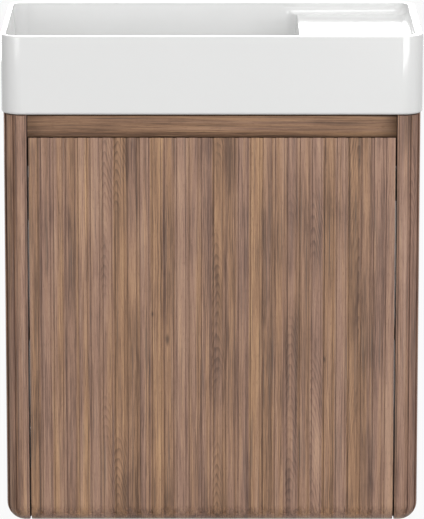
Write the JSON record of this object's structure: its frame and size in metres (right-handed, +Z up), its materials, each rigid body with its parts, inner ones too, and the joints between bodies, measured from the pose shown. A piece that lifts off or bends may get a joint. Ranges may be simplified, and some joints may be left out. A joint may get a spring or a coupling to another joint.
{
  "type": "wall-hung vanity unit",
  "caption": "Wall-hung cloakroom vanity: thin-rimmed ceramic hand basin with a tap deck on a fluted walnut cabinet with one inset finger-pull door.",
  "frame": {"origin": "centre of the four wall plate screw holes, on the wall plane", "axes": "+Z up, +Y into the wall, the front faces -Y, +X to the right seen from the front"},
  "size_m": [0.45, 0.235, 0.536],
  "materials": {
    "glazed_basin": "gloss white glaze",
    "fluted_walnut": "satin walnut, fluted, grain upright",
    "rail_walnut": "satin walnut, grain along the rail",
    "carcass_walnut": "satin walnut veneer",
    "clear_silicone": "translucent silicone",
    "soft_bumper": "clear silicone",
    "beech_dowel": "raw beech",
    "moulded_plastic": "grey moulded",
    "nut_plastic": "white moulded",
    "black_rubber": "black",
    "bright_chrome": "polished",
    "cast_zinc": "nickel-plated casting",
    "magnet": "dark nickel",
    "zinc_plated_steel": "zinc-plated"
  },
  "bodies": {
    "root": {"basin": "glazed_basin", "basin_seal": "clear_silicone", "bottom_panel": "carcass_walnut", "cam_bolts": "zinc_plated_steel", "cam_discs": "cast_zinc", "catch_housing": "moulded_plastic", "catch_magnet": "magnet", "catch_screws": "zinc_plated_steel", "dowels": "beech_dowel", "finger_pull_rail": "rail_walnut", "left_hanger_adjusters": "zinc_plated_steel", "left_hanger_body": "moulded_plastic", "left_hanger_hook": "zinc_plated_steel", "left_hanger_screws": "zinc_plated_steel", "left_side_panel": "fluted_walnut", "left_wall_plate": "zinc_plated_steel", "lower_hinge_arm": "cast_zinc", "lower_hinge_arm_screws": "zinc_plated_steel", "rear_bottom_rail": "carcass_walnut", "rear_top_rail": "carcass_walnut", "right_hanger_adjusters": "zinc_plated_steel", "right_hanger_body": "moulded_plastic", "right_hanger_hook": "zinc_plated_steel", "right_hanger_screws": "zinc_plated_steel", "right_side_panel": "fluted_walnut", "right_wall_plate": "zinc_plated_steel", "shelf": "carcass_walnut", "shelf_pins": "zinc_plated_steel", "upper_hinge_arm": "cast_zinc", "upper_hinge_arm_screws": "zinc_plated_steel", "waste_back_nut": "nut_plastic", "waste_body": "bright_chrome", "waste_bottom_seal": "black_rubber", "waste_cartridge": "moulded_plastic", "waste_top_seal": "black_rubber"},
    "door": {"door": "fluted_walnut", "door_bumpers": "soft_bumper", "catch_strike": "zinc_plated_steel", "catch_strike_screw": "zinc_plated_steel", "lower_hinge_housing": "cast_zinc", "lower_hinge_housing_screws": "zinc_plated_steel", "lower_hinge_pin": "zinc_plated_steel", "upper_hinge_housing": "cast_zinc", "upper_hinge_housing_screws": "zinc_plated_steel", "upper_hinge_pin": "zinc_plated_steel"},
    "plug": {"waste_plug": "bright_chrome"}
  },
  "joints": [
    {"name": "door_swing", "type": "hinge", "parent": "root", "child": "door", "pos_m": [-0.1765, -0.2255, 0], "axis": [0, 0, -1], "range_deg": [0, 100]},
    {"name": "plug_press", "type": "slide", "parent": "root", "child": "plug", "axis": [0, 0, -1], "range_m": [0, 0.0065], "stiffness_N_per_m": 1500, "springref_m": -0.002}
  ]
}
